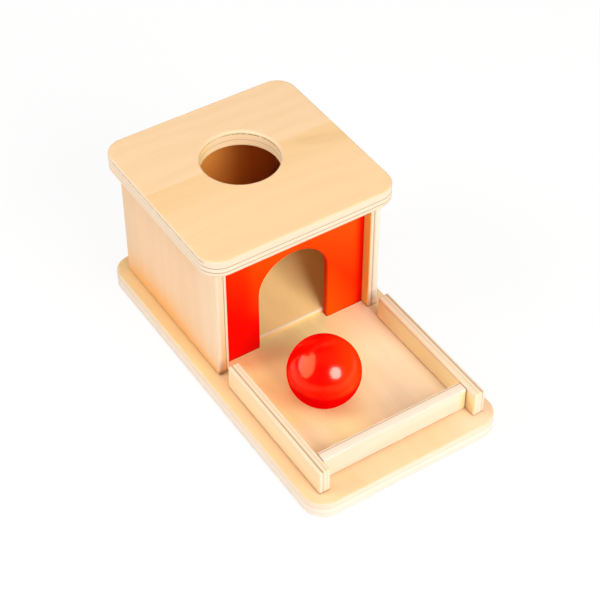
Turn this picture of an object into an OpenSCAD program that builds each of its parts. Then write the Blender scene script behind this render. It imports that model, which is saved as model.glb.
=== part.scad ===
// Wooden drop box with a ball tray: a ball dropped through the hole in the top
// board rolls down a hidden ramp, out of the arched doorway and into the tray.
// Origin: centre of the base board's underside. +Z up, the tray towards -Y.

/* [Base board] */
// Width of the base board, side to side
base_w = 152; // [126:1:190]
// Length of the base board, tray end to box end
base_l = 278; // [240:1:340]
// Thickness of the base board
base_t = 14; // [9:0.5:20]
// Radius of the base board's four corners
base_corner_r = 16; // [5:0.5:20]
// Bare strip of base board beside the box and the side rails
side_strip = 9.5; // [5:0.5:12]
// Bare strip of base board behind the box
back_strip = 13; // [7:0.5:18]
// Bare strip of base board in front of the side rails
front_strip = 10.5; // [6:0.5:18]

/* [Box] */
// Depth of the box, from the walls' front edges to their back edges
box_d = 129.5; // [110:0.5:150]
// Height of the walls between the base board and the top board
wall_h = 100; // [88:0.5:140]
// Thickness of the plywood of the side walls and the back wall
wall_t = 8.5; // [7:0.5:12]

/* [Top board] */
// Thickness of the top board
top_t = 13.5; // [9:0.5:20]
// Overhang of the top board past the walls on all four sides
top_overhang = 9; // [4:0.5:14]
// Radius of the top board's four corners
top_corner_r = 15.5; // [5:0.5:20]
// Diameter of the hole that the ball drops through
hole_d = 57; // [53:0.5:66]
// Distance of the hole's centre behind the middle of the box
hole_back = 11; // [0:0.5:16]

/* [Front panel] */
// Thickness of the painted front panel
panel_t = 5.5; // [4:0.5:9]
// Depth of the panel's face behind the walls' front edges
panel_recess = 8; // [2:0.5:12]
// Depth of the grooves in the side walls that hold the panel
groove_depth = 2.5; // [1:0.5:4]
// Width of the doorway
door_w = 56; // [53:0.5:72]
// Height of the doorway's crown above the base board
door_h = 76.5; // [60:0.5:82]

/* [Ramp] */
// Thickness of the ramp board
ramp_t = 4; // [3:0.5:6]
// Length of the bevel that the ramp's lower end stands on
ramp_foot = 2.5; // [1:0.5:5]
// Slope of the ramp in degrees
ramp_angle = 18; // [10:0.5:20]
// Height of the ledger strip that carries the ramp's upper end
ledger_h = 12; // [8:0.5:14]
// Depth of the ledger strip
ledger_t = 9; // [6:0.5:14]

/* [Tray] */
// Thickness of the three tray rails
rail_t = 8.5; // [6.5:0.5:12]
// Height of the two side rails
side_rail_h = 20; // [17:0.5:36]
// Height of the front rail
front_rail_h = 19; // [16:0.5:34]
// Distance of the front rail behind the side rails' front ends
front_rail_setback = 9; // [0:0.5:14]
// Open gap between a side rail's back end and the wall behind it
rail_gap = 12; // [2:0.5:14]

/* [Ball] */
// Diameter of the ball
ball_d = 51; // [45:0.5:52]
// Place of the ball across the tray, from -1 at the left rail to 1 at the right
ball_across_share = -0.29; // [-0.5:0.01:0.5]
// Place of the ball along the tray, from 0 at the front rail to 1 at the box
ball_along_share = 0.485; // [0.4:0.005:0.6]

/* [Fasteners] */
// Shank diameter of the countersunk base screws
screw_d = 3.5; // [2.5:0.1:4]
// Head diameter of the base screws
screw_head_d = 7; // [5.5:0.1:8]
// Depth that the base screws reach into the walls and rails
screw_bite = 13; // [8:0.5:14]
// Diameter of the dowels between the side walls and the top board
dowel_d = 5; // [3:0.5:5.5]
// Depth of each dowel in the top board
dowel_top = 7; // [4:0.5:7.5]
// Depth of each dowel in the wall
dowel_wall = 15; // [8:0.5:24]

/* [Edges] */
// Radius of the eased edges of the base board and the top board
board_ease = 1.6; // [0.6:0.1:2.4]
// Radius of the eased edges of the walls and rails
rail_ease = 1.2; // [0.4:0.1:1.8]
// Chamfer round the doorway
door_ease = 0.8; // [0.3:0.1:1.2]

/* [Hidden] */

// Fits
panel_gap = 0.2;     // clearance between a groove's floor and the panel's edge
groove_fit = 0.1;    // clearance on each face of the panel in its grooves
ramp_gap = 0.5;      // clearance round the ramp board
rest_gap = 0.3;      // the ball above the tray floor
screw_fit = 0.05;    // radial clearance of the shanks in the walls and rails
shank_gap = 0.25;    // radial clearance of the shanks in the base board
head_sink = 0.4;     // the screw heads below the base board's underside
head_rim = 0.4;      // straight rim of a screw head
tip_l = 3;           // pointed end of a screw
tip_gap = 1;         // bore left open past a screw's point
dowel_fit = 0.05;    // radial clearance of the dowels
dowel_gap = 0.5;     // bore left open past each end of a dowel
dowel_chamfer = 0.6; // bevel on a dowel's ends
cross_w = 0.9;       // width of the arms of a screw's cross recess
cross_l = 3.8;       // length of the arms
cross_depth = 1.4;   // depth of the cross recess
over = 1;            // overrun of every cut past the face it opens

// Places across and along the box and the tray
box_w = base_w - 2 * side_strip;
box_back = base_l / 2 - back_strip;
box_front = box_back - box_d;
box_mid = (box_front + box_back) / 2;
wall_x = (box_w - wall_t) / 2;
inner_w = box_w - 2 * wall_t;
roof_z = base_t + wall_h;
panel_front = box_front + panel_recess;
panel_back = panel_front + panel_t;
rail_back = box_front - rail_gap;
rail_front = front_strip - base_l / 2;
rail_mid = (rail_front + rail_back) / 2;
side_rail_l = rail_back - rail_front;
rail_x = (box_w - rail_t) / 2;
front_rail_y = rail_front + front_rail_setback + rail_t / 2;
tray_front = front_rail_y + rail_t / 2;
ball_x = ball_across_share * (box_w / 2 - rail_t);
ball_y = tray_front + ball_along_share * (box_front - tray_front);
back_wall_y = box_back - wall_t / 2;

// Levels of the ramp: its underside leaves the base board where the bevel ends
ramp_front = panel_back + ramp_gap;
ramp_back = box_back - wall_t - ramp_gap;
ramp_cut = ramp_t / cos(ramp_angle);
function ramp_under(y) = base_t + (y - ramp_front - ramp_foot) * tan(ramp_angle);

// Places of the fasteners, as shares of the piece that they enter
wall_screw_shares = [0.14, 0.84];
rail_screw_shares = [0.22, 0.86];
across_screw_share = 0.3;
dowel_shares = [0.2, 0.8];

function wall_screws(side) =
    [for (s = wall_screw_shares) [side * wall_x, box_front + s * box_d]];
function rail_screws(side) =
    [for (s = rail_screw_shares) [side * rail_x, rail_front + s * side_rail_l]];
function across_screws(y) =
    [for (side = [-1, 1]) [side * across_screw_share * inner_w, y]];
function dowels(side) =
    [for (s = dowel_shares) [side * wall_x, box_front + s * box_d]];
all_screws = concat(wall_screws(-1), wall_screws(1), rail_screws(-1), rail_screws(1),
                    across_screws(back_wall_y), across_screws(front_rail_y));

head_r = screw_head_d / 2;
shank_r = screw_d / 2;
head_h = head_r - shank_r + head_rim;
screw_l = base_t - head_sink + screw_bite;

round_fn = 96;
edge_fn = 32;
wood = "#F6D7A6";
pale_wood = "#F8DDB4";
wall_wood = "#F1CFA6";
red = "#FB2A06";
ball_red = "#F51404";
steel = "#C9CCD0";
beech = "#D9B079";

// Rectangle with round corners, centred
module round_rect(size, r) {
    square([size.x - 2 * r, size.y], center = true);
    square([size.x, size.y - 2 * r], center = true);
    for (sx = [-1, 1], sy = [-1, 1])
        translate([sx * (size.x / 2 - r), sy * (size.y / 2 - r)]) circle(r, $fn = edge_fn);
}

// Straight board with all twelve edges eased, standing on z = 0
module eased_board(size, ease) {
    translate([0, 0, size.z / 2])
        intersection() {
            linear_extrude(size.z, center = true) round_rect([size.x, size.y], ease);
            rotate([90, 0, 0])
                linear_extrude(size.y, center = true) round_rect([size.x, size.z], ease);
            rotate([90, 0, 90])
                linear_extrude(size.x, center = true) round_rect([size.y, size.z], ease);
        }
}

// Half of the section of a disc with eased rims
module disc_section(r, t, ease) {
    square([r - ease, t]);
    translate([0, ease]) square([r, t - 2 * ease]);
    for (z = [ease, t - ease])
        translate([r - ease, z]) circle(ease, $fn = edge_fn);
}

// Flat board with round corners whose eased edges run round them, on z = 0
module eased_slab(size, corner_r, ease) {
    t = size.z;
    translate([0, 0, t / 2]) {
        rotate([90, 0, 0])
            linear_extrude(size.y - 2 * corner_r, center = true)
                round_rect([size.x, t], ease);
        rotate([90, 0, 90])
            linear_extrude(size.x - 2 * corner_r, center = true)
                round_rect([size.y, t], ease);
    }
    for (sx = [-1, 1], sy = [-1, 1])
        translate([sx * (size.x / 2 - corner_r), sy * (size.y / 2 - corner_r), 0])
            rotate_extrude($fn = round_fn) disc_section(corner_r, t, ease);
}

// Round hole whose two rims are eased, for cutting through a board on z = 0
module eased_hole(d, t, ease) {
    rotate_extrude($fn = round_fn)
        difference() {
            translate([0, -over]) square([d / 2 + ease, t + 2 * over]);
            translate([d / 2, ease]) square([ease + over, t - 2 * ease]);
            for (z = [ease, t - ease])
                translate([d / 2 + ease, z]) circle(ease, $fn = edge_fn);
        }
}

// Screw with a countersunk head, point upwards, its head's face on z = 0
module screw() {
    difference() {
        rotate_extrude($fn = round_fn)
            polygon([[0, 0], [head_r, 0], [head_r, head_rim], [shank_r, head_h],
                     [shank_r, screw_l - tip_l], [0, screw_l]]);
        for (a = [0, 90])
            rotate(a)
                translate([-cross_l / 2, -cross_w / 2, -over])
                    cube([cross_l, cross_w, cross_depth + over]);
    }
}

// Countersunk bore in the base board for one screw
module screw_bore() {
    rotate_extrude($fn = round_fn)
        polygon([[0, -over], [head_r + shank_gap, -over],
                 [head_r + shank_gap, head_sink + head_rim],
                 [shank_r + shank_gap, head_sink + head_h],
                 [shank_r + shank_gap, base_t + over], [0, base_t + over]]);
}

// Pilot bores in the underside of a wall or rail
module pilots(places) {
    for (p = places)
        translate([p.x, p.y, base_t - over])
            cylinder(h = over + screw_bite + tip_gap, r = shank_r + screw_fit, $fn = edge_fn);
}

// Blind bores for the dowels, upwards or downwards from the roof line
module dowel_bores(side, depth, way) {
    for (p = dowels(side))
        translate([p.x, p.y, way > 0 ? roof_z - over : roof_z - depth - dowel_gap])
            cylinder(h = over + depth + dowel_gap, r = dowel_d / 2 + dowel_fit, $fn = edge_fn);
}

// Outline of the doorway, its threshold on y = 0
module door_outline() {
    spring = door_h - door_w / 2;
    translate([0, spring]) circle(d = door_w, $fn = round_fn);
    translate([-door_w / 2, -over]) square([door_w, spring + over]);
}

// Chamfer that opens the doorway towards one face of the panel
module door_chamfer() {
    spring = door_h - door_w / 2;
    wide = door_w / 2 + door_ease + over;
    translate([0, spring, 0])
        cylinder(h = door_ease + over, r1 = door_w / 2, r2 = wide, $fn = round_fn);
    translate([0, spring, 0])
        rotate([90, 0, 0])
            linear_extrude(spring + over)
                polygon([[-door_w / 2, 0], [door_w / 2, 0],
                         [wide, door_ease + over], [-wide, door_ease + over]]);
}

// Upright groove in the inner face of a side wall for the front panel
module panel_groove(side) {
    translate([side * (inner_w / 2 + groove_depth / 2 - over / 2),
               (panel_front + panel_back) / 2, base_t + wall_h / 2])
        cube([groove_depth + over, panel_t + 2 * groove_fit, wall_h + 2 * over],
             center = true);
}

module base_board() {
    color(wood)
        difference() {
            eased_slab([base_w, base_l, base_t], base_corner_r, board_ease);
            for (p = all_screws)
                translate([p.x, p.y, 0]) screw_bore();
        }
}

module side_wall(side) {
    color(wall_wood)
        difference() {
            translate([side * wall_x, box_mid, base_t])
                eased_board([wall_t, box_d, wall_h], rail_ease);
            panel_groove(side);
            pilots(wall_screws(side));
            dowel_bores(side, dowel_wall, -1);
        }
}

module left_wall() {
    side_wall(-1);
}

module right_wall() {
    side_wall(1);
}

module back_wall() {
    color(wall_wood)
        difference() {
            translate([0, back_wall_y, base_t])
                eased_board([inner_w, wall_t, wall_h], rail_ease);
            pilots(across_screws(back_wall_y));
        }
}

module front_panel() {
    panel_w = inner_w + 2 * (groove_depth - panel_gap);
    color(red)
        translate([0, panel_back, base_t])
            rotate([90, 0, 0])
                difference() {
                    translate([-panel_w / 2, 0, 0]) cube([panel_w, wall_h, panel_t]);
                    translate([0, 0, -over])
                        linear_extrude(panel_t + 2 * over) door_outline();
                    translate([0, 0, panel_t - door_ease]) door_chamfer();
                    translate([0, 0, door_ease]) mirror([0, 0, 1]) door_chamfer();
                }
}

module top_board() {
    color(wood)
        difference() {
            translate([0, box_mid, roof_z])
                eased_slab([box_w + 2 * top_overhang, box_d + 2 * top_overhang, top_t],
                           top_corner_r, board_ease);
            translate([0, box_mid + hole_back, roof_z])
                eased_hole(hole_d, top_t, board_ease);
            for (side = [-1, 1]) dowel_bores(side, dowel_top, 1);
        }
}

module ramp() {
    ramp_w = inner_w - 2 * ramp_gap;
    color(pale_wood)
        translate([-ramp_w / 2, 0, 0])
            rotate([90, 0, 90])
                linear_extrude(ramp_w)
                    polygon([[ramp_front, base_t], [ramp_front + ramp_foot, base_t],
                             [ramp_back, ramp_under(ramp_back)],
                             [ramp_back, ramp_under(ramp_back) + ramp_cut],
                             [ramp_front, ramp_under(ramp_front) + ramp_cut]]);
}

module ramp_ledger() {
    ledger_w = inner_w - 2 * ramp_gap;
    far = box_back - wall_t;
    near = far - ledger_t;
    foot = ramp_under(far) - ledger_h;
    color(pale_wood)
        translate([-ledger_w / 2, 0, 0])
            rotate([90, 0, 90])
                linear_extrude(ledger_w)
                    polygon([[near, foot], [far, foot],
                             [far, ramp_under(far)], [near, ramp_under(near)]]);
}

module side_rail(side) {
    color(pale_wood)
        difference() {
            translate([side * rail_x, rail_mid, base_t])
                eased_board([rail_t, side_rail_l, side_rail_h], rail_ease);
            pilots(rail_screws(side));
        }
}

module left_rail() {
    side_rail(-1);
}

module right_rail() {
    side_rail(1);
}

module front_rail() {
    color(pale_wood)
        difference() {
            translate([0, front_rail_y, base_t])
                eased_board([box_w - 2 * rail_t, rail_t, front_rail_h], rail_ease);
            pilots(across_screws(front_rail_y));
        }
}

module ball() {
    color(ball_red)
        translate([ball_x, ball_y, base_t + rest_gap + ball_d / 2])
            sphere(d = ball_d, $fn = round_fn);
}

module base_screws() {
    color(steel)
        for (p = all_screws)
            translate([p.x, p.y, head_sink]) screw();
}

module top_dowels() {
    r = dowel_d / 2;
    length = dowel_wall + dowel_top;
    color(beech)
        for (side = [-1, 1], p = dowels(side))
            translate([p.x, p.y, roof_z - dowel_wall])
                rotate_extrude($fn = round_fn)
                    polygon([[0, 0], [r - dowel_chamfer, 0], [r, dowel_chamfer],
                             [r, length - dowel_chamfer], [r - dowel_chamfer, length],
                             [0, length]]);
}

base_board();
left_wall();
right_wall();
back_wall();
front_panel();
top_board();
ramp();
ramp_ledger();
left_rail();
right_rail();
front_rail();
ball();
base_screws();
top_dowels();
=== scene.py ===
"""Drop box with a ball tray: birch plywood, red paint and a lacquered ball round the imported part.

The part's own frame is used throughout: +Z up, the tray towards -Y. Objects are placed in metres. The
finishes work in millimetres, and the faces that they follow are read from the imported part.
"""
import math

import bmesh
import bpy
from bpy.props import FloatProperty, FloatVectorProperty, PointerProperty
from mathutils import Matrix, Quaternion, Vector


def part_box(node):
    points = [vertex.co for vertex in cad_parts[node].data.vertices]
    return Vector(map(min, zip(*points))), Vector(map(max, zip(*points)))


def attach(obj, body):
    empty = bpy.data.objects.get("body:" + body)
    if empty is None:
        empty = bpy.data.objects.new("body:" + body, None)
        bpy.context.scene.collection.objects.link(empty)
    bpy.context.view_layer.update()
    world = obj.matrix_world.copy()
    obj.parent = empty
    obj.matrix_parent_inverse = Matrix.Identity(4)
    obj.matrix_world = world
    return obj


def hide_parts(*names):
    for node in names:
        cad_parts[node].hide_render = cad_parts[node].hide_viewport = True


bl_info = {
    "name": "Wooden Drop Box",
    "version": (1, 0, 0),
    "blender": (4, 5, 0),
    "location": "View3D > Sidebar > Drop Box",
    "description": "Finishes the packed drop box in birch plywood, red paint and lacquer",
    "category": "Object",
}

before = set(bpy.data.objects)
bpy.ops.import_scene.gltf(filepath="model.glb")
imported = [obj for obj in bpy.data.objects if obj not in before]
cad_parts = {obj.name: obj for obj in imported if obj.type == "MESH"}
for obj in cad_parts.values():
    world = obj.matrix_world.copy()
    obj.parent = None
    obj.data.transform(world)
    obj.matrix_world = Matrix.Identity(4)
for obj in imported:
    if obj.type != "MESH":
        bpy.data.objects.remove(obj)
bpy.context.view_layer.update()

MM = 0.001
AXIS = {"x": 0, "y": 1, "z": 2}


def corners(node):
    """The lowest and highest corner of a CAD node, in millimetres."""
    return [Vector(corner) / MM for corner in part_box(node)]


# Faces that the finishes follow, in millimetres
BASE_TOP = corners("base_board")[1].z
OUTER = corners("right_wall")[1].x
INNER = corners("right_wall")[0].x
BOX_FRONT = corners("right_wall")[0].y
BACK_FACE = corners("back_wall")[0].y
RAIL_FRONT = corners("front_rail")[0].y
RAIL_BACK = corners("front_rail")[1].y
SIDE_RAIL_END = corners("right_rail")[0].y
CREST = corners("front_rail")[1].z
TOP_SIDE = corners("top_board")[1].x
TOP_FACE = corners("top_board")[1].z
RAMP_FRONT = corners("ramp")[0].y

# The drop hole and the doorway, in millimetres
HOLE_Y = 72.25
HOLE_RADIUS = 28.5
DOOR_HALF = 28.0

# How far the figure of one board lies from the next one's, in millimetres for each step of the seed
SEED_STEP = (37.3, -21.7, 13.9)

# The ramp's upper face: its slope, a y and its z there, and the board's thickness
RAMP_LEAN = (math.radians(18.0), RAMP_FRONT, 17.39, 4.0)

TOY_MIDDLE = (0.0, 0.0, 0.06)

# The photograph's camera: where it stands, and the picture's right, up and back directions
CAMERA_PLACE = (-0.44845, -0.68972, 0.85560)
CAMERA_RIGHT = (0.83797, -0.54572, 0.00143)
CAMERA_UP = (0.38112, 0.58709, 0.71419)
CAMERA_BACK = (-0.39059, -0.59793, 0.69995)
CAMERA_LENS = 99.692
CAMERA_SENSOR = 36.0


# Settings


def colour(name, description, default):
    return FloatVectorProperty(
        name=name, description=description, default=default, size=3, min=0.0, max=1.0, subtype="COLOR"
    )


def length(name, description, default, low=0.0, high=1.0):
    return FloatProperty(
        name=name, description=description, default=default, min=low, max=high,
        subtype="DISTANCE", unit="LENGTH",
    )


def watts(name, description, default):
    return FloatProperty(name=name, description=description, default=default, min=0.0, unit="POWER")


def factor(name, description, default, high=10.0):
    return FloatProperty(
        name=name, description=description, default=default, min=0.0, max=high, subtype="FACTOR"
    )


class DropBoxWood(bpy.types.PropertyGroup):
    """Colours and figure of the plywood"""

    top: colour("Top board", "Face veneer of the top board", (0.90, 0.62, 0.345))
    base: colour("Base board", "Face veneer of the base board", (0.94, 0.605, 0.34))
    rear: colour("Top, rear half", "Face veneer behind the seam of the top board", (0.89, 0.63, 0.375))
    seam: colour("Top, seam", "Deeper tone of the top board just before the seam", (0.87, 0.575, 0.285))
    # Painted light: the tray floor is painted paler and yellower than the rest of the base board.
    tray: colour("Tray floor", "Sanded floor of the tray", (0.98, 0.83, 0.40))
    # Painted light: paler tray floor towards the right front.
    tray_front: colour("Tray floor, front", "Tray floor towards the right front", (0.97, 0.81, 0.555))
    # Painted light: paler, pinker tray floor at the left front.
    tray_left: colour("Tray floor, left", "Tray floor at the left front", (0.98, 0.82, 0.50))
    # Painted shade: darker tray floor at the left rear, along the left rail.
    tray_rear: colour("Tray floor, rail", "Tray floor along the rear of the left rail", (0.97, 0.76, 0.35))
    # Painted warm shade and reflected light of the box on the base board beside it.
    flank_warm_shade: colour("Flanks", "Base board beside the box", (0.96, 0.665, 0.325))
    # Painted warm shade, paler towards the base board's edge.
    flank_edge: colour("Flanks, outside", "Base board beside the box, towards its edge", (0.90, 0.70, 0.385))
    sill: colour("Base edge, low", "Paler sanded plies low on the base board's edge", (0.87, 0.765, 0.65))
    # Painted light: paler base board right of the box, where the wall and rail shade it.
    right_flank_light: colour("Right flank", "Paler base board on the right of the box", (0.97, 0.72, 0.41))
    corner: colour("Front corner", "Paler veneer at the base board's right front corner", (0.95, 0.66, 0.43))
    wall: colour("Walls", "Face veneer of the walls", (0.87, 0.595, 0.365))
    fore: colour("Left wall, front", "Paler veneer towards the left wall's front edge", (0.87, 0.65, 0.435))
    aft: colour("Left wall, rear", "Greyer veneer towards the left wall's rear edge", (0.79, 0.575, 0.375))
    # Painted shade: the walls are painted darker just below the top board.
    overhang_shade: colour("Walls, top", "Face veneer of the walls just below the top board", (0.81, 0.56, 0.34))
    # Painted warm shade and reflected light of the base board on the walls' lower part.
    foot: colour("Wall foot", "Warmer tone of the walls towards the base", (0.95, 0.46, 0.14))
    # Painted shade: bare wood inside the box is painted darker and more saturated.
    inner: colour("Inside", "Bare faces inside the box", (0.88, 0.37, 0.07))
    # Painted light: the inside faces are painted paler near the doorway.
    near: colour("Inside, doorway", "Bare faces inside the box near the doorway", (0.97, 0.62, 0.28))
    # Painted light where light falls through the hole on the back wall's left part.
    lit: colour("Inside, left", "Paler bare wood in the box's left rear corner", (1.0, 0.64, 0.11))
    # Painted shade in the box's right rear corner.
    right_rear_shade: colour("Inside, right", "Darker bare wood in the box's right rear corner", (0.40, 0.10, 0.008))
    # Painted warm shade on the walls' inner faces in front of the panel.
    reveal: colour("Reveal", "Inner face of a wall in front of the panel", (1.0, 0.74, 0.17))
    rail: colour("Side rails", "Face veneer of the side rails", (0.95, 0.72, 0.43))
    hollow: colour("Rails, inside", "Face veneer of the rails towards the ball", (0.98, 0.88, 0.49))
    front: colour("Front rail", "Face veneer of the front rail", (0.94, 0.755, 0.60))
    ramp: colour("Ramp", "Face veneer of the ramp", (1.0, 0.73, 0.32))
    # Painted light: the ramp's lip in the doorway is painted paler.
    lip: colour("Ramp lip", "Sanded edge of the ramp in the doorway", (1.0, 0.88, 0.68))
    edge: colour("Ply edges", "Sanded long-grain plies along the edges", (0.88, 0.715, 0.54))
    crest: colour("Rail tops", "Sanded plies along the tops of the side rails", (0.87, 0.69, 0.475))
    crest_front: colour("Front rail top", "Sanded plies along the front rail's top", (0.93, 0.715, 0.585))
    # Painted shade on the front rail's face beside the right rail.
    rail_nook_shade: colour("Front rail, right", "Front rail's face beside the right rail", (0.94, 0.74, 0.39))
    end: colour("Wall edges", "Browner plies in the walls' front edges", (0.86, 0.60, 0.35))
    end_right: colour("Right wall edge", "Pale plies in the right wall's front edge", (0.86, 0.80, 0.67))
    rim: colour("Hole", "Edge of the hole in the top board", (1.0, 0.80, 0.505))
    rim_left: colour("Hole, left", "Deeper tone of the hole's edge on the left", (1.0, 0.765, 0.39))
    # Painted shade: the top board's left edge is painted darker and greyer.
    shaded: colour("Top, left edge", "Sanded plies along the top board's left edge", (0.83, 0.67, 0.495))
    eased: colour("Hole, eased rim", "Rounded rim of the hole in the top board", (0.93, 0.63, 0.40))
    glue: colour("Glue lines", "Dark lines between the plies", (0.30, 0.19, 0.11))
    heart: colour("Dark grain", "Darker growth bands and pores of the veneer", (0.66, 0.36, 0.13))
    dowel: colour("Dowels", "Beech of the dowels", (0.72, 0.48, 0.27))
    fleck: colour("Dowels, dark", "Darker fibres and flecks of the beech", (0.42, 0.22, 0.10))
    bare: colour("Bare grain", "Darker grain on the front panel's unpainted back", (0.62, 0.36, 0.16))
    veneer: length("Veneer", "Thickness of the face veneer", 0.5 * MM)
    ring: length("Growth bands", "Width of a growth band across the grain", 17.0 * MM)


class DropBoxPaint(bpy.types.PropertyGroup):
    """Colours and surface of the paint, the lacquer and the steel"""

    panel: colour("Panel, low", "Satin paint at the front panel's lower left", (0.95, 0.0004, 0.0001))
    # Painted warm reflected light: the paint turns orange towards the upper right.
    upper: colour("Panel, high", "Satin paint at the front panel's upper right", (0.96, 0.10, 0.0002))
    jamb: colour("Jamb", "Paint soaked into the doorway's end grain", (0.80, 0.0003, 0.0001))
    # Painted shade: the paint is darkened beside the right wall.
    side: colour("Panel, right edge", "Deeper paint beside the right wall", (0.74, 0.001, 0.0002))
    seat: colour("Panel, foot", "Dark line where the panel stands on the base board", (0.30, 0.03, 0.002))
    ball: colour("Ball", "Gloss lacquer of the ball", (0.90, 0.0010, 0.0002))
    clouded: colour("Ball, clouds", "Deeper clouds in the ball's lacquer", (0.70, 0.001, 0.001))
    # Painted reflection of the tray: orange on the ball's right side.
    tray_reflection: colour("Ball, right", "Thinner lacquer on the ball's right side", (0.92, 0.038, 0.0004))
    steel: colour("Screws", "Zinc-plated steel of the screws", (0.66, 0.67, 0.70))
    # Painted shade in the screws' recess, and duller patches of steel.
    recess: colour("Screws, recess", "Duller steel in the screws' recess", (0.30, 0.30, 0.31))
    peel: length("Orange peel", "Width of the ripples in sprayed paint", 1.6 * MM)


class DropBoxStudio(bpy.types.PropertyGroup):
    """Floor and lamps of the studio"""

    floor: colour("Floor", "Pale floor", (0.93, 0.93, 0.93))
    floor_cloud: colour("Floor, clouds", "Faint clouds in the floor", (0.85, 0.85, 0.85))
    floor_glow: factor("Floor glow", "Share of plain white that the camera sees in the floor", 0.86, 1.0)
    key: watts("Key lamp", "Power of the lamp in front", 23.6)
    fill: watts("Fill lamp", "Power of the lamp on the left", 25.0)
    top: watts("Top lamp", "Power of the lamp above", 9.7)
    key_card: watts("Front reflection", "Power of the card that the ball mirrors in front", 232.0)
    fill_card: watts("Left reflection", "Power of the card that the ball mirrors on the left", 170.0)
    sky: factor("Sky", "Strength of the even light from all round", 0.27)
    mirror: factor("Mirrored sky", "Strength of the sky that gloss mirrors", 0.06)


class DropBoxSettings(bpy.types.PropertyGroup):
    """Everything that a user would change"""

    wood: PointerProperty(type=DropBoxWood)
    paint: PointerProperty(type=DropBoxPaint)
    studio: PointerProperty(type=DropBoxStudio)


# Shader maths


class Sock:
    """An output of a material's node. Sums on it are written as Python expressions and become Math nodes."""

    def __init__(self, finish, link):
        self.finish = finish
        self.link = link

    def __add__(self, other):
        return self.finish.math("ADD", self, other)

    __radd__ = __add__

    def __sub__(self, other):
        return self.finish.math("SUBTRACT", self, other)

    def __rsub__(self, other):
        return self.finish.math("SUBTRACT", other, self)

    def __mul__(self, other):
        return self.finish.math("MULTIPLY", self, other)

    __rmul__ = __mul__

    def __truediv__(self, other):
        return self.finish.math("DIVIDE", self, other)

    def __abs__(self):
        return self.finish.math("ABSOLUTE", self)


class Finish:
    """A material under construction: its nodes are added by node(), its sums by math()."""

    def __init__(self, name):
        self.material = bpy.data.materials.new(name)
        self.material.use_nodes = True
        self.nodes = self.material.node_tree.nodes
        self.links = self.material.node_tree.links
        self.nodes.clear()

    def node(self, kind, settings=None, inputs=None, out=0):
        """Adds a node: its settings first, then its sockets' values or links.

        inputs and out give a socket by its index, identifier or name.
        """
        made = self.nodes.new(kind)
        for key, value in (settings or {}).items():
            if key == "stops":
                self.stops(made.color_ramp, value)
            else:
                setattr(made, key, value)
        for key, value in (inputs or {}).items():
            socket = self.find(made.inputs, key)
            if isinstance(value, Sock):
                self.links.new(value.link, socket)
            else:
                socket.default_value = value
        return Sock(self, self.find(made.outputs, out)) if made.outputs else None

    @staticmethod
    def find(sockets, key):
        """The socket with this index, identifier or name."""
        if isinstance(key, int):
            return sockets[key]
        return next((s for s in sockets if s.identifier == key), None) or sockets[key]

    @staticmethod
    def stops(ramp, stops):
        """Sets a colour ramp's stops from pairs of place and grey level."""
        while len(ramp.elements) > 1:
            ramp.elements.remove(ramp.elements[-1])
        for i, (place, level) in enumerate(stops):
            stop = ramp.elements[0] if i == 0 else ramp.elements.new(place)
            stop.position = place
            stop.color = (level, level, level, 1.0)

    def math(self, operation, *values):
        return self.node("ShaderNodeMath", {"operation": operation}, dict(enumerate(values)))

    def smooth(self, value, low, high, start=0.0, end=1.0):
        """start below low and end above high, with a smooth change between them."""
        return self.node(
            "ShaderNodeMapRange",
            {"interpolation_type": "SMOOTHSTEP"},
            {"Value": value, "From Min": low, "From Max": high, "To Min": start, "To Max": end},
        )

    def fade(self, value, low, high, start=1.0):
        """start below low and 0 above high, with a smooth change between them."""
        return self.smooth(value, low, high, start, 0.0)

    def noise(self, spot, scale, detail=2.0, rough=0.5):
        return self.node(
            "ShaderNodeTexNoise",
            {"noise_dimensions": "3D"},
            {"Vector": spot, "Scale": scale, "Detail": detail, "Roughness": rough},
        )

    def spot(self, x, y, z):
        return self.node("ShaderNodeCombineXYZ", None, {"X": x, "Y": y, "Z": z})

    def mix(self, share, a, b):
        """Colour a where share is 0 and b where it is 1."""
        a, b = (c if isinstance(c, Sock) else (*c, 1.0) for c in (a, b))
        return self.node(
            "ShaderNodeMix",
            {"data_type": "RGBA", "clamp_factor": True},
            {"Factor_Float": share, "A_Color": a, "B_Color": b},
            "Result_Color",
        )

    def place(self, shift=(0.0, 0.0, 0.0)):
        """The point's x, y and z in the part's frame, in millimetres, moved by shift millimetres."""
        seat = self.node("ShaderNodeTexCoord", out="Object")
        scaled = self.node(
            "ShaderNodeVectorMath",
            {"operation": "MULTIPLY_ADD"},
            {0: seat, 1: (1.0 / MM,) * 3, 2: shift},
        )
        return [self.node("ShaderNodeSeparateXYZ", None, {0: scaled}, out=i) for i in range(3)]

    def bump(self, height, distance, strength):
        inputs = {"Height": height, "Distance": distance, "Strength": strength}
        return self.node("ShaderNodeBump", None, inputs)

    def surface(self, **sockets):
        """A surface shader. Its sockets are named with _ for spaces."""
        inputs = {name.replace("_", " "): value for name, value in sockets.items()}
        return self.node("ShaderNodeBsdfPrincipled", None, inputs)

    def output(self, shader):
        """Ends the material with this shader, and returns it."""
        self.node("ShaderNodeOutputMaterial", None, {"Surface": shader})
        return self.material

    def finish(self, **sockets):
        return self.output(self.surface(**sockets))


# Finishes


def ply_stops(thickness, lines, cross=0.08):
    """Grey levels through a board: high on each glue line, cross in every second ply, 0 in the others.

    A line is its height, its strength and, where it is a wide one, half its width.
    """
    stops = [(0.0, 0.0)]
    level = 0.0
    for line, strength, core in ((*line, 0.16)[:3] for line in lines):
        following = cross - level
        rim = core + 0.3
        for offset, grey in ((-rim, level), (-core, strength), (core, strength), (rim, following)):
            stops.append(((line + offset) / thickness, grey))
        level = following
    return stops + [(1.0, level)]


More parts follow.
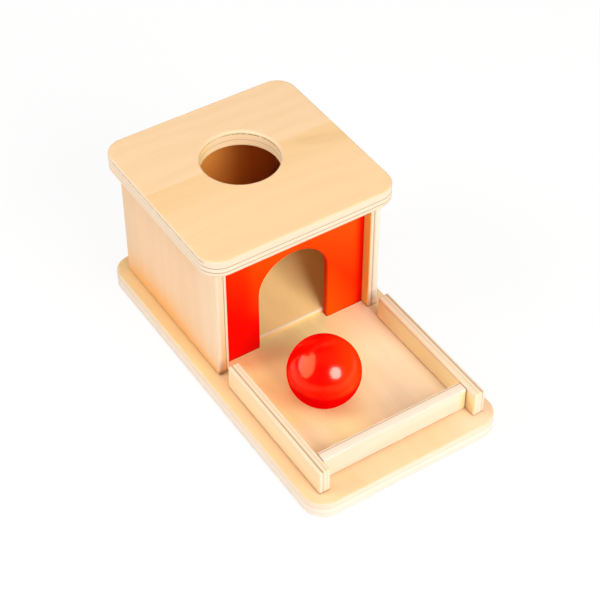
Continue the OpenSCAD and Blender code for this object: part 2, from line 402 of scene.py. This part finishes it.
def foot_joint(f, x, y, z):
    """The dark line, here and there fainter, where a piece stands on the base board."""
    fainter = f.smooth(f.noise(f.spot(x * 0.12, y * 0.12, 0.0), 1.0, 3.0, 0.6), 0.34, 0.60, 0.6, 0.95)
    return f.fade(z, BASE_TOP + 1.0, BASE_TOP + 1.4) * fainter


def plywood(
    name, node, stack, grain, lines, face, wood, seed,
    zones=None, seam=None, lean=None, joint=None, sanded=None,
):
    """Plywood as a solid: its plies lie one above the other along stack, the face veneer's grain along grain.

    lines are the glue lines, as ply_stops takes them. zones(f, x, y, z) lists shares and colours that are
    laid over the veneer, and in a third place the part of that share that the edges take. seam is where a
    second veneer starts, and lean is the slope, y, z and thickness of a board that stands askew.
    joint(f, x, y, z) is the share of a dark joint line, and sanded(f, x, y, z) is how much fainter the glue
    lines are.
    """
    f = Finish(name)
    low, high = corners(node)
    s, g = AXIS[stack], AXIS[grain]
    c = 3 - s - g
    real = f.place()
    x, y, z = real
    p = f.place([seed * step for step in SEED_STEP])
    across, along, depth = p[c], p[g], p[s]
    if seam is not None:
        waver = f.noise(f.spot(real[g] * 0.05, seed, 0.0), 1.0, 1.0) - 0.5
        flame = f.smooth(real[g], 48.0, 62.0) * 9.0
        behind = f.smooth(real[c] + waver * flame, seam - 0.2, seam + 0.2)
        across = across + behind * 71.0
        along = along + behind * 43.0

    # Through the board
    if lean is None:
        thickness = high[s] - low[s]
        level = real[s] - low[s]
    else:
        slope, y0, z0, thickness = lean
        level = (z - z0) * math.cos(slope) - (y - y0) * math.sin(slope) + thickness
    wander = f.noise(f.spot(along * 0.02, across * 0.02, seed), 1.0, 1.0) - 0.5
    level = level + wander * 0.3
    nearest = f.math("MINIMUM", level, thickness - level)
    veneer = wood.veneer / MM
    inside = f.smooth(nearest, veneer * 0.85, veneer * 1.15)
    ply = f.node(
        "ShaderNodeValToRGB",
        {"stops": ply_stops(thickness, lines)},
        {"Fac": level / thickness},
        "Color",
    )
    ply = f.node("ShaderNodeSeparateColor", None, {"Color": ply}, "Red")
    if sanded:
        ply = ply * (1.0 - sanded(f, x, y, z))

    # The veneer's figure
    warp = f.noise(f.spot(along * 0.007, across * 0.022, depth * 0.05), 1.0, 2.0, 0.45)
    ring = wood.ring / MM
    band = f.math("SINE", across * (2 * math.pi / ring) + warp * 16.0) * 0.5 + 0.5
    band = f.smooth(band, 0.1, 1.0)
    drift = f.noise(f.spot(along * 0.011, across * 0.024, depth * 0.02), 1.0, 3.0, 0.5)
    fibre = f.noise(f.spot(along * 0.055, across * 1.5, depth * 1.5), 1.0, 5.0, 0.62)
    pores = f.noise(f.spot(along * 0.42, across * 4.2, depth * 4.2), 1.0, 1.0)
    pores = f.smooth(pores, 0.68, 0.78)
    dark = (band - 0.45) * 0.06 + (drift - 0.5) * 0.20 + (fibre - 0.5) * 0.28 + pores * 0.10 + 0.05
    if seam is not None:
        streaked = real[c] + (warp - 0.5) * 26.0 + (real[g] - 57.0) * 0.25
        flame = f.fade(abs(streaked - 61.0), 2.0, 9.0) * f.smooth(real[g], 36.0, 46.0)
        dark = dark + flame * (1.0 - behind) * 0.20
    layers = [(*zone, 0.0)[:3] for zone in zones(f, x, y, z)] if zones else []
    shade = face
    if seam is not None:
        nearing = f.smooth(real[c], seam - 50.0, seam) * (1.0 - behind)
        shade = f.mix(nearing * 0.75, f.mix(behind, face, wood.rear), wood.seam)
    for share, tone, _ in layers:
        shade = f.mix(share, shade, tone)
    veneer_colour = f.mix(dark, shade, wood.heart)

    # The sanded edges
    streak = f.noise(f.spot(along * 0.10, across * 0.10, level * 3.4), 1.0, 3.0, 0.6)
    speck = f.noise(f.spot(along * 2.6, across * 2.6, level * 2.6), 1.0, 2.0, 0.7)
    worn = ply * 0.70 + (streak - 0.5) * 0.18 + (speck - 0.5) * 0.08
    edge_shade = wood.edge
    for share, tone, edge_part in layers:
        if edge_part:
            edge_shade = f.mix(share * edge_part, edge_shade, tone)
    edge_colour = f.mix(worn, edge_shade, wood.glue)

    skin = f.mix(inside, veneer_colour, edge_colour)
    if joint:
        skin = f.mix(joint(f, x, y, z), skin, wood.glue)
    height = fibre * 0.6 + pores * -0.5 + inside * ply * -0.8
    return f.finish(
        Base_Color=skin,
        Roughness=f.smooth(fibre, 0.25, 0.75, 0.44, 0.56) + inside * 0.06,
        Normal=f.bump(height, 0.06 * MM, 0.55),
        Specular_IOR_Level=0.25,
    )


def panel_paint(name, paint, wood, node):
    """Satin paint on plywood: fine ripples over a trace of grain, deeper in the doorway, bare behind."""
    f = Finish(name)
    x, y, z = f.place()
    low, high = corners(node)
    mottle = f.noise(f.spot(x * 0.035, y * 0.05, z * 0.035), 1.0, 3.0)
    ripple = f.noise(f.spot(x, y, z), MM / paint.peel, 2.0, 0.5)
    grain = f.noise(f.spot(x * 1.1, y * 1.1, z * 0.04), 1.0, 4.0, 0.6)
    # Painted warm reflected light: the paint turns warmer upwards and to the right, sooner right of the
    # doorway and over its left side
    right = f.math("MAXIMUM", 143.0 - z * 1.25 - x * 1.9, 0.0) * f.smooth(x, 23.0, 29.0)
    left = f.smooth(x, -42.0, -29.0, 0.0, 20.0) * f.smooth(z, 38.0, 55.0) * f.fade(x, -10.0, 10.0)
    warm_reflection = f.smooth(z * 0.6 + x * 0.39 + right + left + (mottle - 0.5) * 12.0, 5.0, 105.0)
    skin = f.mix(warm_reflection, paint.panel, paint.upper)
    skin = f.mix((mottle - 0.5) * 0.3 + (grain - 0.5) * 0.16 + 0.04, skin, paint.jamb)
    deep = f.smooth(y, low.y + 0.6, low.y + 0.9) * f.fade(abs(x), DOOR_HALF - 1.0, DOOR_HALF + 1.0)
    foot = f.fade(z, low.z + 0.7, low.z + 1.3, 0.6)
    # Painted shade beside the right wall.
    corner = f.smooth(x, high.x - 11.0, high.x - 3.5)
    skin = f.mix(corner * 0.95, skin, paint.side)
    skin = f.mix(deep, skin, paint.jamb)
    skin = f.mix(foot, skin, paint.seat)
    rear = f.smooth(y, high.y - 0.3, high.y - 0.1)
    # The unpainted back takes the painted light of the inside near the doorway, with darker grain.
    skin = f.mix(rear, skin, f.mix((grain - 0.5) * 0.5 + 0.1, wood.near, wood.bare))
    height = ripple * 0.7 + grain * 0.5
    return f.finish(
        Base_Color=skin,
        Roughness=f.smooth(mottle + ripple * 0.3, 0.3, 0.9, 0.36, 0.48),
        Normal=f.bump(height, 0.05 * MM, 0.6),
        Specular_IOR_Level=0.05,
        Specular_Tint=(1.0, 0.35, 0.08, 1.0),
    )


def ball_lacquer(name, paint, centre):
    """Gloss lacquer on a turned ball: faint turning marks, and no gloss low down or where it is seen aslant.

    x, y and z start at the ball's centre. The gloss ends sooner on the right, where hands have dulled it.
    """
    f = Finish(name)
    x, y, z = f.place([-c / MM for c in centre])
    cloud = f.noise(f.spot(x * 0.06, y * 0.06, z * 0.06), 1.0, 3.0)
    ripple = f.noise(f.spot(x * 0.30, y * 0.30, z * 0.30), 1.0, 2.0)
    turned = f.noise(f.spot(x * 0.02, y * 0.02, z * 2.4), 1.0, 3.0, 0.6)
    # Painted reflection of the tray on the ball's right side, fading out low down.
    thin = f.smooth(x - y * 0.5 + (cloud - 0.5) * 10.0, -4.0, 24.0) * f.smooth(z, -5.0, 3.0, 0.03, 1.0)
    shade = f.mix(thin, paint.ball, paint.tray_reflection)
    shade = f.mix((cloud - 0.5) * 0.4 + (turned - 0.5) * 0.1 + 0.05, shade, paint.clouded)
    bump = f.bump(ripple * 0.8 + turned * 0.12, 0.06 * MM, 0.5)
    gloss = f.surface(
        Base_Color=shade,
        Roughness=f.smooth(cloud, 0.3, 0.7, 0.15, 0.18),
        Normal=bump,
        Specular_IOR_Level=0.4,
        Specular_Tint=(1.0, 0.70, 0.14, 1.0),
    )
    dull = f.surface(Base_Color=shade, Roughness=0.6, Normal=bump, Specular_IOR_Level=0.0)
    facing = f.node("ShaderNodeLayerWeight", None, {"Blend": 0.5}, "Facing")
    edge = f.smooth(facing + f.math("MAXIMUM", x, 0.0) * 0.011, 0.45, 0.80)
    handled = f.math("MAXIMUM", edge, f.fade(z, -2.0, 2.5))
    return f.output(f.node("ShaderNodeMixShader", None, {0: handled, 1: gloss, 2: dull}))


def screw_steel(name, paint):
    """Zinc plate with fine scratches, duller patches here and there, and painted shade in the recess."""
    f = Finish(name)
    x, y, z = f.place()
    scratch = f.noise(f.spot(x * 6.0, y * 0.8, z * 3.0), 1.0, 4.0, 0.7)
    dull = f.noise(f.spot(x * 0.9, y * 0.9, z * 0.9), 1.0, 3.0)
    # Painted shade towards the recess.
    deep = f.smooth(z, 0.9, 1.6)
    skin = f.mix(dull * 0.5 + deep * 0.4, paint.steel, paint.recess)
    return f.finish(
        Base_Color=skin,
        Metallic=1.0,
        Roughness=f.smooth(scratch, 0.3, 0.7, 0.26, 0.44),
        Normal=f.bump(scratch, 0.02 * MM, 0.5),
    )


def dowel_beech(name, wood):
    """Beech with its short flecks, upright."""
    f = Finish(name)
    x, y, z = f.place()
    fibre = f.noise(f.spot(x * 2.0, y * 2.0, z * 0.12), 1.0, 4.0, 0.6)
    fleck = f.smooth(f.noise(f.spot(x * 3.4, y * 3.4, z * 0.9), 1.0, 1.0), 0.64, 0.74)
    skin = f.mix((fibre - 0.4) * 0.6 + fleck * 0.3, wood.dowel, wood.fleck)
    return f.finish(
        Base_Color=skin,
        Roughness=f.smooth(fibre, 0.3, 0.7, 0.5, 0.65),
        Normal=f.bump(fibre, 0.04 * MM, 0.5),
    )


def studio_floor(name, studio):
    """Pale floor that keeps the object's shadow, lifted towards white where the camera sees it."""
    f = Finish(name)
    x, y, z = f.place()
    cloud = f.noise(f.spot(x * 0.004, y * 0.004, 0.0), 1.0, 2.0)
    skin = f.mix((cloud - 0.5) * 0.02, studio.floor, studio.floor_cloud)
    lit = f.node("ShaderNodeBsdfDiffuse", None, {"Color": skin, "Roughness": 0.3})
    white = f.node("ShaderNodeEmission", None, {"Color": (1.0, 1.0, 1.0, 1.0), "Strength": 1.0})
    path = f.node("ShaderNodeLightPath", out="Is Camera Ray")
    return f.output(f.node("ShaderNodeMixShader", None, {0: path * studio.floor_glow, 1: lit, 2: white}))


# Pieces


def dress(node, material):
    """Gives a CAD node its material."""
    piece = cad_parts[node]
    piece.data.materials.clear()
    piece.data.materials.append(material)


def add_mesh(name, build):
    """A new object whose mesh build(bm) makes."""
    bm = bmesh.new()
    build(bm)
    mesh = bpy.data.meshes.new(name)
    bm.to_mesh(mesh)
    bm.free()
    piece = bpy.data.objects.new(name, mesh)
    bpy.context.scene.collection.objects.link(piece)
    return piece


def shade_smooth(piece):
    for polygon in piece.data.polygons:
        polygon.use_smooth = True


def turned_ball(bm, centre, radius, flat=0.1 * MM, rings=96, segments=160):
    """A ball as a lathe leaves it: round, with a barely flattened spot at each end of its axis."""
    rows = []
    for i in range(1, rings):
        angle = math.pi * i / rings
        height = max(-radius + flat, min(radius - flat, radius * math.cos(angle)))
        reach = radius * math.sin(angle)
        rows.append([
            bm.verts.new(centre + Vector((
                reach * math.cos(2 * math.pi * k / segments),
                reach * math.sin(2 * math.pi * k / segments),
                height,
            )))
            for k in range(segments)
        ])
    for upper, lower in zip(rows, rows[1:]):
        for k in range(segments):
            n = (k + 1) % segments
            bm.faces.new((upper[k], lower[k], lower[n], upper[n]))
    for row, height, way in ((rows[0], radius - flat, 1), (rows[-1], flat - radius, -1)):
        pole = bm.verts.new(centre + Vector((0.0, 0.0, height)))
        for k in range(segments):
            n = (k + 1) % segments
            bm.faces.new((pole, row[k], row[n]) if way > 0 else (pole, row[n], row[k]))


def aim(lamp, target, roll):
    """Points a lamp at target, turned by roll degrees about its beam."""
    turn = (Vector(target) - lamp.location).to_track_quat("-Z", "Y")
    lamp.rotation_euler = (turn @ Quaternion((0.0, 0.0, 1.0), math.radians(roll))).to_euler()


def area_lamp(name, shape, place, size, power, tint, roll=0.0):
    """An area lamp that points at the middle of the toy."""
    data = bpy.data.lights.new(name, "AREA")
    data.shape = shape
    data.size, data.size_y = size
    data.energy = power
    data.color = tint
    lamp = bpy.data.objects.new(name, data)
    lamp.location = place
    aim(lamp, TOY_MIDDLE, roll)
    bpy.context.scene.collection.objects.link(lamp)
    return lamp


# Operators


class DropBoxStep:
    """One step of the build: make() does the work, and an error in it stops the script."""

    bl_options = {"REGISTER", "UNDO"}

    def execute(self, context):
        self.make(context.scene.drop_box)
        return {"FINISHED"}


class DROPBOX_OT_base_board(DropBoxStep, bpy.types.Operator):
    """Birch plywood of the base board, its grain along the toy"""

    bl_idname = "dropbox.base_board"
    bl_label = "Base Board"

    def make(self, s):
        lines = ((0.9, 0.2), (4.5, 0.35), (9.3, 0.38), (13.1, 0.2))
        w = s.wood

        def zones(f, x, y, z):
            """The tray's floor with its painted light and shade, the flanks round the box with painted warm
            shade, painted light right of the box, the right front corner and the edge, low down.
            """
            upper = f.smooth(z, BASE_TOP - 4.0, BASE_TOP - 2.0)
            # Painted light on the tray floor; the tray zones below it are painted light and shade.
            tray = f.fade(abs(x), INNER, INNER + 0.4) * f.smooth(y, RAIL_BACK - 0.2, RAIL_BACK + 0.2) * upper
            # Painted light on the tray floor towards the right front.
            ahead = tray * f.smooth(x * 1.6 - y * 0.7, 20.0, 115.0)
            # Painted shade on the tray floor at the left rear.
            beside = tray * f.fade(x, -48.0, -30.0) * f.smooth(y, -66.0, -46.0)
            # Painted light on the tray floor at the left front.
            before = tray * f.fade(x, -44.0, -16.0) * f.fade(y, -84.0, -62.0)
            beyond = f.smooth(abs(x), INNER, INNER + 2.0)
            behind = f.smooth(y, BACK_FACE + 2.5, BACK_FACE + 4.5)
            around = f.math("MAXIMUM", beyond, behind) * upper
            right = f.smooth(x, -20.0, 60.0)
            # Painted warm shade and reflected light of the box on the base board left of and behind it.
            flank_warm_shade = f.smooth(y, -40.0, 20.0) * around * (1.0 - right)
            # Painted light on the base board right of the box, where the wall and rail shade it.
            right_flank_light = f.smooth(y, -45.0, -4.0) * around * right
            # The painted warm shade turns paler towards the base board's edge.
            outward = f.smooth(abs(x), 68.5, 74.0, 0.0, 0.8)
            corner = f.smooth(x - y * 0.4, 76.0, 108.0) * (1.0 - tray)
            corner = corner * f.fade(y, RAIL_BACK - 1.0, RAIL_BACK + 7.0)
            arris = f.fade(z, 1.2, 1.8) * f.smooth(z, 0.2, 0.4)
            low = f.fade(z, 4.0, BASE_TOP - 1.0)
            return (
                (tray, w.tray),
                (before, w.tray_left),
                (beside, w.tray_rear),
                (ahead, w.tray_front),
                (flank_warm_shade, w.flank_warm_shade),
                (flank_warm_shade * outward, w.flank_edge),
                (right_flank_light, w.right_flank_light),
                (corner, w.corner),
                (arris, w.edge),
                (low, w.sill, 1.0),
            )

        dress("base_board", plywood("birch base", "base_board", "z", "y", lines, w.base, w, 2, zones))


class DROPBOX_OT_walls(DropBoxStep, bpy.types.Operator):
    """Birch plywood of the side walls and the back wall, their grain upright"""

    bl_idname = "dropbox.walls"
    bl_label = "Walls"

    def make(self, s):
        left = ((0.9, 0.15), (2.6, 0.2), (6.0, 0.95, 0.25))
        right = ((2.9, 0.85, 0.4), (6.2, 0.15))
        w = s.wood

        def zones(f, x, y, z):
            """Painted warm shade towards the base, below the top board and in the reveals; inside the box,
            bare wood painted as shade, with painted light near the doorway and by the hole; browner and paler
            plies in the front edges.
            """
            edge = f.fade(y, BOX_FRONT + 0.5, BOX_FRONT + 1.5)
            side = f.fade(x, 0.3 - OUTER, 0.7 - OUTER)
            fore = f.fade(y, 2.0, 34.0) * side
            aft = f.smooth(y, 104.0, 124.0) * side
            # Painted shade of the top board on the walls just below it.
            overhang_shade = f.smooth(z, 72.0, 108.0) * (1.0 - fore)
            # Painted warm shade and reflected light of the base board, low on the walls.
            foot = f.fade(z, BASE_TOP - 1.0, 50.0, 0.92) * f.smooth(y, 0.0, 70.0, 0.35, 1.0)
            foot = foot * (1.0 - aft * 0.4) * (side * 0.65 + 0.35)
            # Painted shade: a dark spot at the foot of the left wall's front edge.
            foot_shade_spot = f.fade(y, BOX_FRONT + 0.7, BOX_FRONT + 1.3) * f.fade(x, -INNER - 2.0, -INNER)
            foot_shade_spot = foot_shade_spot * f.fade(z, BASE_TOP + 2.0, BASE_TOP + 5.5, 0.75)
            # Painted warm shade at the foot of the walls and their edges.
            low_warm_shade = f.fade(z, BASE_TOP - 1.0, BASE_TOP + 10.0)
            low_warm_shade = low_warm_shade * (1.0 - edge * 0.3 * f.smooth(x, INNER, INNER + 3.0))
            # The inside faces of the box, which take painted shade.
            inner = f.fade(abs(x), INNER + 0.1, INNER + 0.4) * f.fade(y, BACK_FACE + 0.1, BACK_FACE + 0.4)
            # Painted light on the inside faces near the doorway.
            near = f.fade(y, 40.0, 80.0) * inner
            # Painted warm shade on the inside faces in front of the panel.
            ahead = f.fade(y, 4.0, 9.0) * inner
            back = f.smooth(y, 100.0, 110.0) * inner
            # Painted light where light falls through the hole on the back wall's left part.
            lit = back * f.fade(x, -24.0, 6.0)
            # Painted shade on the back wall's right part inside the box.
            dim = back * f.smooth(x, 0.0, 34.0)
            front = edge * f.smooth(x, 1.5 - OUTER, 4.0 - OUTER) * f.fade(x, 5.8 - OUTER, 6.2 - OUTER)
            outer = edge * f.smooth(x, OUTER - 4.8, OUTER - 3.3)
            # Painted shade towards the bottom of the left wall's front edge, behind the left rail.
            low = f.fade(z, 18.0, 85.0, 0.7) * f.fade(x, -INNER, 8.0 - INNER)
            return (
                (fore, w.fore),
                (aft, w.aft),
                (overhang_shade, w.overhang_shade),
                (foot, w.foot),
                (inner, w.inner),
                (near, w.near),
                (ahead, w.reveal),
                (lit, w.lit),
                (dim * 0.85, w.right_rear_shade),
                (front, w.end, 0.7),
                (outer, w.end_right, 1.0),
                (front * low, w.foot, 1.0),
                (low_warm_shade * (1.0 - inner), w.foot, 0.8),
                (foot_shade_spot, w.glue, 1.0),
            )

        for node, stack, lines, seed in (
            ("left_wall", "x", left, 5),
            ("right_wall", "x", right, 6),
            ("back_wall", "y", left, 7),
        ):
            wood = plywood("birch " + node, node, stack, "z", lines, w.wall, w, seed, zones, joint=foot_joint)
            dress(node, wood)


class DROPBOX_OT_top_board(DropBoxStep, bpy.types.Operator):
    """Birch plywood of the top board: two veneers meet in a seam through the hole"""

    bl_idname = "dropbox.top_board"
    bl_label = "Top Board"

    def make(self, s):
        w = s.wood
        lines = ((0.9, 0.25), (3.9, 0.95, 0.25), (7.6, 0.95, 0.25), (12.6, 0.25))

        def reach(f, x, y):
            """How far a point lies outside the drop hole."""
            return f.math("SQRT", x * x + (y - HOLE_Y) * (y - HOLE_Y)) - HOLE_RADIUS

        def bore(f, x, y, share=1.0):
            """The wall of the drop hole, its eased rim left out."""
            return f.fade(reach(f, x, y), 0.2, 0.4, share)

        def zones(f, x, y, z):
            """The hole's edge and its eased rim, and painted shade on the board's left edge."""
            edge = f.fade(reach(f, x, y), 0.2, 0.6)
            deeper = edge * f.fade(x, -16.0, -4.0)
            eased = f.fade(reach(f, x, y), 1.3, 1.7) * (1.0 - edge)
            # Painted shade on the top board's left edge.
            shaded = f.fade(x, 0.3 - TOP_SIDE, 0.9 - TOP_SIDE) * f.fade(z, TOP_FACE - 1.1, TOP_FACE - 0.5)
            return (edge, w.rim, 0.9), (deeper, w.rim_left, 0.9), (eased, w.eased), (shaded, w.shaded, 0.9)

        def scorch(f, x, y, z):
            """Dark glue lines: broken on the left edge and high in the hole, a fainter one lower in it."""
            depth = TOP_FACE - z
            broken = f.smooth(f.noise(f.spot(x * 0.3, y * 0.3, 0.0), 1.0, 3.0, 0.7), 0.36, 0.56, 0.2, 1.0)
            left = f.fade(abs(depth - 2.2), 0.3, 0.6, 0.7) * f.fade(x, 0.5 - TOP_SIDE, 2.0 - TOP_SIDE)
            hole = bore(f, x, y)
            upper = f.fade(abs(depth - 2.7), 0.2, 0.6) * f.smooth(x, -6.0, 14.0, 0.4, 0.85)
            lower = f.fade(abs(depth - 7.7), 0.3, 0.7, 0.32)
            return f.math("MAXIMUM", left, hole * upper) * broken + hole * lower

        def sanded(f, x, y, z):
            """Fainter lines along the left edge and in the hole."""
            return f.math("MAXIMUM", f.fade(x, 0.3 - TOP_SIDE, 0.9 - TOP_SIDE, 0.6), bore(f, x, y, 0.85))

        wood = plywood(
            "birch top", "top_board", "z", "x", lines, w.top, w, 11,
            zones, seam=71.5, joint=scorch, sanded=sanded,
        )
        dress("top_board", wood)


class DROPBOX_OT_front_panel(DropBoxStep, bpy.types.Operator):
    """Satin red paint of the front panel"""

    bl_idname = "dropbox.front_panel"
    bl_label = "Front Panel"

    def make(self, s):
        dress("front_panel", panel_paint("red panel paint", s.paint, s.wood, "front_panel"))


class DROPBOX_OT_ramp(DropBoxStep, bpy.types.Operator):
    """Thin plywood of the ramp and of the ledger under its upper end"""

    bl_idname = "dropbox.ramp"
    bl_label = "Ramp"

    def make(self, s):
        w = s.wood
        lines = ((3.4, 0.1),)

        def zones(f, x, y, z):
            """Painted light on the lip at the doorway."""
            # Painted light on the lip, kept off the lowest part of its front face.
            lip = f.fade(y, RAMP_FRONT + 0.7, RAMP_FRONT + 1.1)
            return (lip, w.lip, 1.0), (lip * f.fade(z, BASE_TOP + 1.4, BASE_TOP + 1.9), w.ramp, 1.0)

        dress("ramp", plywood("thin ply", "ramp", "z", "y", lines, w.ramp, w, 15, zones, lean=RAMP_LEAN))
        lines = ((3.0, 0.6), (6.0, 0.6))
        # The ledger inside the box takes the inside's painted shade as its face.
        dress("ramp_ledger", plywood("ledger ply", "ramp_ledger", "z", "x", lines, w.inner, w, 16))


class DROPBOX_OT_rails(DropBoxStep, bpy.types.Operator):
    """Birch plywood of the three rails, the ply lines along their tops"""

    bl_idname = "dropbox.rails"
    bl_label = "Rails"

    def make(self, s):
        w = s.wood
        left = ((2.8, 1.0, 0.4), (5.9, 0.55))
        right = ((3.4, 0.4), (6.4, 1.0, 0.4))
        front = ((4.2, 0.15), (6.7, 0.85, 0.35))

        def zones(f, x, y, z):
            """The faces towards the ball, painted shade on the front rail's face beside the right rail, and
            the tops.
            """
            between = f.fade(abs(x), INNER + 0.2, INNER + 0.6)
            inward = between * f.smooth(y, RAIL_BACK - 0.6, RAIL_BACK - 0.2)
            crest = f.smooth(z, CREST - 2.0, CREST - 0.5)
            ahead = between * f.fade(y, RAIL_BACK - 0.6, RAIL_BACK - 0.2)
            outer = ahead * f.fade(y, RAIL_FRONT + 3.1, RAIL_FRONT + 4.5)
            # Painted shade on the front rail's face beside the right rail.
            rail_nook_shade = ahead * f.smooth(x, INNER - 8.0, INNER - 1.5) * (1.0 - crest)
            return (
                (inward, w.hollow),
                (rail_nook_shade, w.rail_nook_shade),
                (crest * (1.0 - ahead), w.crest, 1.0),
                (crest * outer, w.crest_front, 1.0),
            )

        def end_joint(f, x, y, z):
            """The front rail meets the side rails and the base board."""
            ends = f.smooth(abs(x), INNER - 1.0, INNER - 0.5, 0.0, 0.85)
            return f.math("MAXIMUM", ends, foot_joint(f, x, y, z) * 0.5)

        def soft_joint(f, x, y, z):
            """The right rail's foot shows less of its joint."""
            return foot_joint(f, x, y, z) * 0.6

        def sanded(f, x, y, z):
            """Fainter lines on the side rails' front ends."""
            return f.fade(y, SIDE_RAIL_END + 0.1, SIDE_RAIL_END + 0.9, 0.5)

        for node, stack, grain, lines, face, seed, joint in (
            ("left_rail", "x", "y", left, w.rail, 21, foot_joint),
            ("right_rail", "x", "y", right, w.rail, 22, soft_joint),
            ("front_rail", "y", "x", front, w.front, 23, end_joint),
        ):
            wood = plywood(
                "birch " + node, node, stack, grain, lines, face, w, seed,
                zones, joint=joint, sanded=sanded,
            )
            dress(node, wood)


class DROPBOX_OT_ball(DropBoxStep, bpy.types.Operator):
    """Turned ball in gloss red lacquer, in place of the plain one"""

    bl_idname = "dropbox.ball"
    bl_label = "Ball"

    def make(self, s):
        low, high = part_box("ball")
        centre = (Vector(low) + Vector(high)) / 2
        radius = (high[2] - low[2]) / 2
        ball = add_mesh("turned_ball", lambda bm: turned_ball(bm, centre, radius))
        shade_smooth(ball)
        ball.data.materials.append(ball_lacquer("red ball lacquer", s.paint, centre))
        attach(ball, "ball")
        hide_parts("ball")


class DROPBOX_OT_fasteners(DropBoxStep, bpy.types.Operator):
    """Zinc-plated base screws and beech dowels"""

    bl_idname = "dropbox.fasteners"
    bl_label = "Fasteners"

    def make(self, s):
        dress("base_screws", screw_steel("zinc plate", s.paint))
        dress("top_dowels", dowel_beech("beech", s.wood))


class DROPBOX_OT_stage(DropBoxStep, bpy.types.Operator):
    """Floor, lamps, even light all round and the photograph's camera"""

    bl_idname = "dropbox.stage"
    bl_label = "Stage"

    def make(self, s):
        self.floor(s.studio)
        self.lamps(s.studio)
        self.surroundings(s.studio)
        self.camera()
        bpy.context.scene.view_settings.view_transform = "Standard"

    def floor(self, studio):
        def disc(bm):
            bmesh.ops.create_circle(bm, cap_ends=True, segments=96, radius=6.0)

        floor = add_mesh("studio_floor", disc)
        floor.data.materials.append(studio_floor("studio floor", studio))

    def lamps(self, studio):
        """Three lamps give the light, and two cards that nothing else sees give the ball its reflections."""
        mirrors = bpy.data.collections.new("mirrors")
        mirrors.objects.link(bpy.data.objects["turned_ball"])
        for name, place, size, power, tint in (
            ("key", (0.19, -1.42, 0.93), (1.05, 1.05), studio.key, (1.0, 0.985, 0.96)),
            ("fill", (-1.55, 0.67, 1.22), (1.3, 1.1), studio.fill, (1.0, 0.97, 0.96)),
            ("top", (0.10, -0.20, 1.75), (1.4, 1.4), studio.top, (1.0, 0.98, 0.96)),
        ):
            lamp = area_lamp(name, "RECTANGLE", place, size, power, tint)
            lamp.visible_glossy = False
        for name, place, size, power, tint, roll in (
            ("key card", (0.186, -1.388, 0.91), (0.95, 1.0), studio.key_card, (0.15, 0.23, 1.0), 0.0),
            ("fill card", (-1.52, 0.657, 1.197), (2.1, 2.9), studio.fill_card, (0.5, 0.57, 1.0), 58.0),
        ):
            card = area_lamp(name, "ELLIPSE", place, size, power, tint, roll)
            card.visible_diffuse = False
            card.light_linking.receiver_collection = mirrors

    def surroundings(self, studio):
        """Even light all round. The camera sees plain white, and gloss mirrors a dimmer sky."""
        world = bpy.data.worlds.new("studio")
        world.use_nodes = True
        bpy.context.scene.world = world
        nodes, links = world.node_tree.nodes, world.node_tree.links
        nodes.clear()
        path = nodes.new("ShaderNodeLightPath")
        out = nodes.new("ShaderNodeOutputWorld")
        shown = None
        for ray, strength in ((None, studio.sky), ("Is Glossy Ray", studio.mirror), ("Is Camera Ray", 1.0)):
            sky = nodes.new("ShaderNodeBackground")
            sky.inputs["Strength"].default_value = strength
            if ray is None:
                shown = sky
                continue
            mix = nodes.new("ShaderNodeMixShader")
            links.new(path.outputs[ray], mix.inputs[0])
            links.new(shown.outputs[0], mix.inputs[1])
            links.new(sky.outputs[0], mix.inputs[2])
            shown = mix
        links.new(shown.outputs[0], out.inputs["Surface"])

    def camera(self):
        data = bpy.data.cameras.new("photograph")
        data.sensor_fit = "HORIZONTAL"
        data.sensor_width = CAMERA_SENSOR
        data.lens = CAMERA_LENS
        data.clip_start = 0.05
        data.clip_end = 30.0
        camera = bpy.data.objects.new("photograph", data)
        turn = Matrix((CAMERA_RIGHT, CAMERA_UP, CAMERA_BACK)).transposed().to_4x4()
        camera.matrix_world = Matrix.Translation(CAMERA_PLACE) @ turn
        bpy.context.scene.collection.objects.link(camera)
        bpy.context.scene.camera = camera


STEPS = (
    DROPBOX_OT_base_board,
    DROPBOX_OT_walls,
    DROPBOX_OT_top_board,
    DROPBOX_OT_front_panel,
    DROPBOX_OT_ramp,
    DROPBOX_OT_rails,
    DROPBOX_OT_ball,
    DROPBOX_OT_fasteners,
    DROPBOX_OT_stage,
)


class DROPBOX_PT_panel(bpy.types.Panel):
    """The steps of the build and what a user would change"""

    bl_idname = "DROPBOX_PT_panel"
    bl_label = "Drop Box"
    bl_space_type = "VIEW_3D"
    bl_region_type = "UI"
    bl_category = "Drop Box"

    def draw(self, context):
        for group in ("wood", "paint", "studio"):
            box = self.layout.box()
            box.label(text=group.title())
            settings = getattr(context.scene.drop_box, group)
            for name in settings.__annotations__:
                box.prop(settings, name)
        column = self.layout.column(align=True)
        for step in STEPS:
            column.operator(step.bl_idname)


CLASSES = (DropBoxWood, DropBoxPaint, DropBoxStudio, DropBoxSettings, *STEPS, DROPBOX_PT_panel)


def register():
    for item in CLASSES:
        bpy.utils.register_class(item)
    bpy.types.Scene.drop_box = PointerProperty(type=DropBoxSettings)


def unregister():
    del bpy.types.Scene.drop_box
    for item in reversed(CLASSES):
        bpy.utils.unregister_class(item)


def main():
    register()
    for step in STEPS:
        group, name = step.bl_idname.split(".")
        getattr(getattr(bpy.ops, group), name)()


if __name__ == "__main__":
    main()
